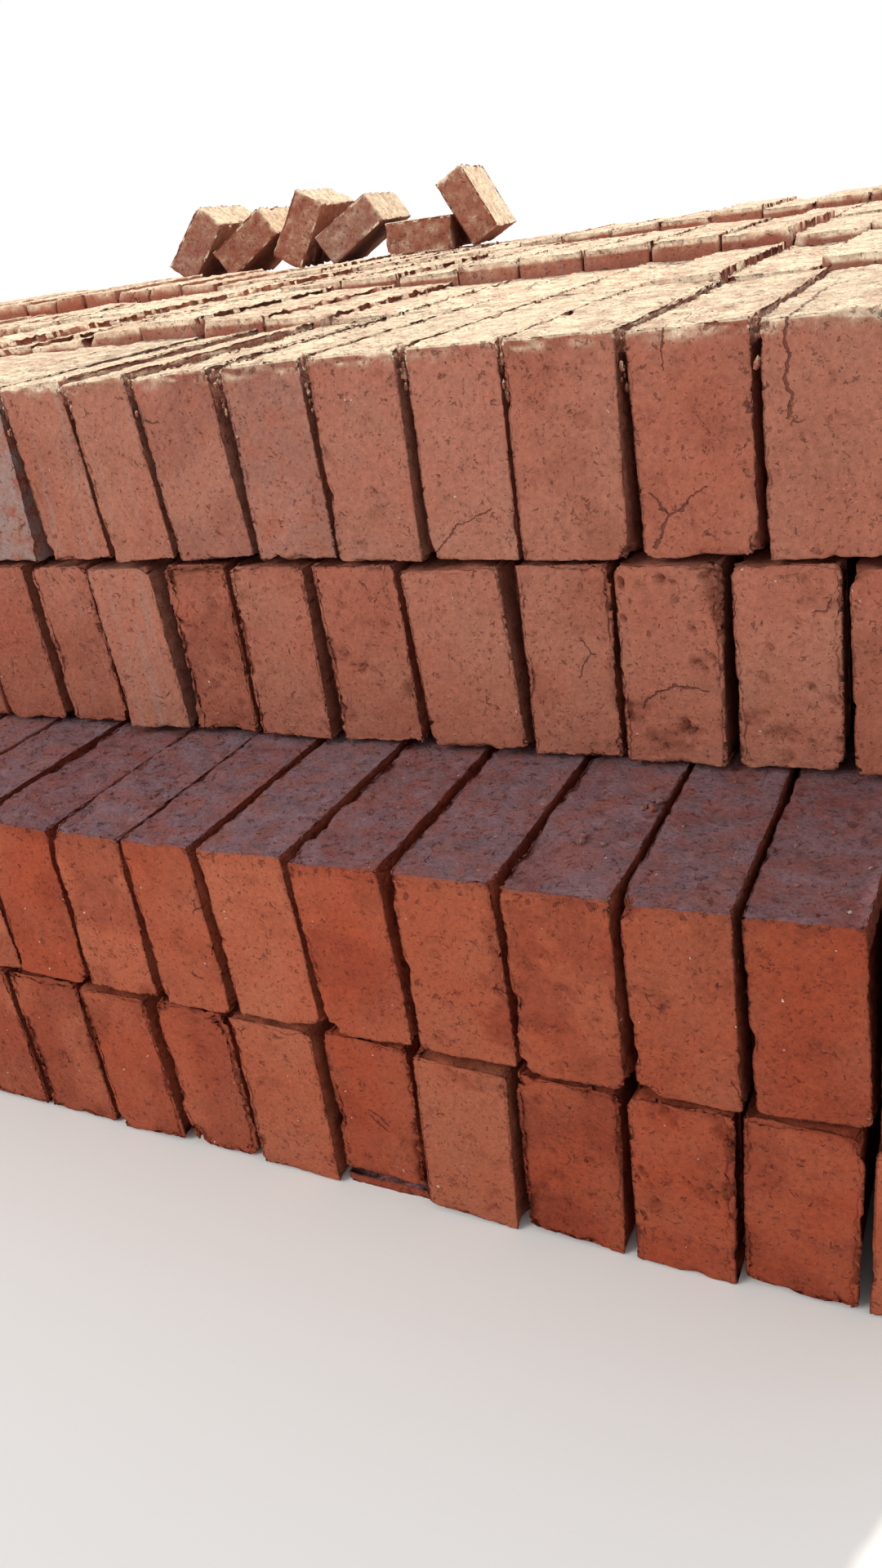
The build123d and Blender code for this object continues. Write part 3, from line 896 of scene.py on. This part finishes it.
# %% Loose bricks, the snapped slice and the cores
row = Row()
for place, brick in enumerate(bricks_in("loose_bricks")):
    # Dust on every side that faces up; its cream also paints sunlight on these bricks.
    row.add(brick, 8000 + place, (12, 26, 18), ("all",), {"rough": 0.3, "tone": 0.6, "warmth": 0.2})
row.finish("loose_top_bricks", upper_clay, ["loose_bricks"], "upper_brick")
row = Row()
for brick in bricks_in("snapped_slice"):
    row.add(brick, 8100, (5, 24, 24), ("all",), {"rough": 0.3, "ragged": 0.3, "tone": 0.45, "warmth": 0.95})
row.finish("snapped_foot", lower_clay, ["snapped_slice"], "lower_brick")
for course in range(1, COURSES):
    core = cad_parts[f"course_{course}_core"]
    core.data.materials.clear()
    core.data.materials.append(clay_of(course)[0])
print(len(bpy.data.meshes), "meshes in all")

# %% [markdown]
# ## Floor and light
# A plain pale floor carries the stack's shadow. The lighting is a soft studio: an even pale world, a high
# lamp from behind that lights the top as the sun does, and a wide soft lamp in front.

# %% Floor
floor_finish = Finish("pale floor")
floor_grain = floor_finish.noise(floor_finish.node("ShaderNodeTexCoord", output="Object"), 3.0)
pale = floor_finish.mix(floor_grain * 0.3, colour(236, 234, 230), colour(228, 226, 222))
lit = floor_finish.node("ShaderNodeBsdfPrincipled", None, {"Base Color": pale, "Roughness": 0.9})
floor_finish.node("ShaderNodeOutputMaterial", None, {"Surface": lit})
sheet = bmesh.new()
bmesh.ops.create_grid(sheet, x_segments=2, y_segments=2, size=30.0)
floor_mesh = bpy.data.meshes.new("floor")
sheet.to_mesh(floor_mesh)
sheet.free()
floor = bpy.data.objects.new("floor", floor_mesh)
bpy.context.scene.collection.objects.link(floor)
floor_mesh.materials.append(floor_finish.material)
print("floor", [round(size) for size in floor.dimensions], "m")

# %% [markdown]
# The world lights the stack evenly and a little coolly. Rays from the camera, and those that gloss and glass
# send on, see plain white in its place, so the background is white without more light on the clay.

# %% World
scene = bpy.context.scene
world = bpy.data.worlds.new("studio")
scene.world = world
world.use_nodes = True
sky = world.node_tree
sky.nodes.clear()
ambient = sky.nodes.new("ShaderNodeBackground")
ambient.inputs["Color"].default_value = (0.94, 0.97, 1.0, 1.0)
ambient.inputs["Strength"].default_value = 0.75
white = sky.nodes.new("ShaderNodeBackground")
rays = sky.nodes.new("ShaderNodeLightPath")
seen = sky.nodes.new("ShaderNodeMixShader")
world_out = sky.nodes.new("ShaderNodeOutputWorld")
white.inputs["Color"].default_value = (1.0, 1.0, 1.0, 1.0)
showing = rays.outputs["Is Camera Ray"]
for kind_of_ray in ("Is Glossy Ray", "Is Transmission Ray"):
    either = sky.nodes.new("ShaderNodeMath")
    either.operation = "MAXIMUM"
    sky.links.new(showing, either.inputs[0])
    sky.links.new(rays.outputs[kind_of_ray], either.inputs[1])
    showing = either.outputs[0]
sky.links.new(showing, seen.inputs[0])
sky.links.new(ambient.outputs[0], seen.inputs[1])
sky.links.new(white.outputs[0], seen.inputs[2])
sky.links.new(seen.outputs[0], world_out.inputs["Surface"])
print("world strength", round(ambient.inputs["Strength"].default_value, 2))

# %% [markdown]
# Two lamps are enough. The high one is a sun, whose rays come from behind and leave the front in shade. The
# wide one in front is so large that it fills that shade evenly and casts no hard shadow of its own.

# %% Lamps
def lamp(name, kind, strength, tint, aim, stand, size):
    """A lamp that stands at one point and is turned towards another."""
    light = bpy.data.lights.new(name, kind)
    light.energy = strength
    light.color = tint
    if kind == "SUN":
        light.angle = size
    else:
        light.shape = "DISK"
        light.size = size
    holder = bpy.data.objects.new(name, light)
    scene.collection.objects.link(holder)
    holder.location = stand
    holder.rotation_euler = (Vector(aim) - Vector(stand)).to_track_quat("-Z", "Y").to_euler()
    print(name, "stands", round((Vector(aim) - Vector(stand)).length, 1), "m away")


lamp("high lamp behind", "SUN", 3.3, (1.0, 0.95, 0.86), (0, 0, 0), (1.15, 3.4, 2.9), math.radians(3))
lamp("wide front lamp", "AREA", 130, (1.0, 0.99, 0.97), (0.8, -1.0, 0.3), (-1.6, -4.4, 2.8), 2.6)

# %% [markdown]
# ## Camera
# The camera stands a little above the level of the top, close to the front, and looks down along the stack.
# Its lens is given by the focal length in pixels of a picture 1920 pixels high.

# %% Camera
PICTURE_HEIGHT = 1920
FOCAL_PIXELS = 1442.0
SENSOR = 36.0
camera_data = bpy.data.cameras.new("camera")
camera_data.sensor_width = SENSOR
camera_data.lens = FOCAL_PIXELS * SENSOR / PICTURE_HEIGHT
camera_data.clip_start = 0.02
camera = bpy.data.objects.new("camera", camera_data)
scene.collection.objects.link(camera)
turn, dip, roll = math.radians(28.47), math.radians(25.63), math.radians(-8.31)
aimed = Matrix.Rotation(turn, 4, "Z") @ Matrix.Rotation(math.radians(90) - dip, 4, "X")
camera.location = (1.3323, -1.6743, 0.6401)
camera.rotation_euler = (aimed @ Matrix.Rotation(roll, 4, "Z")).to_euler()
scene.camera = camera
scene.view_settings.view_transform = "Standard"
print("lens", round(camera_data.lens, 2), "mm")
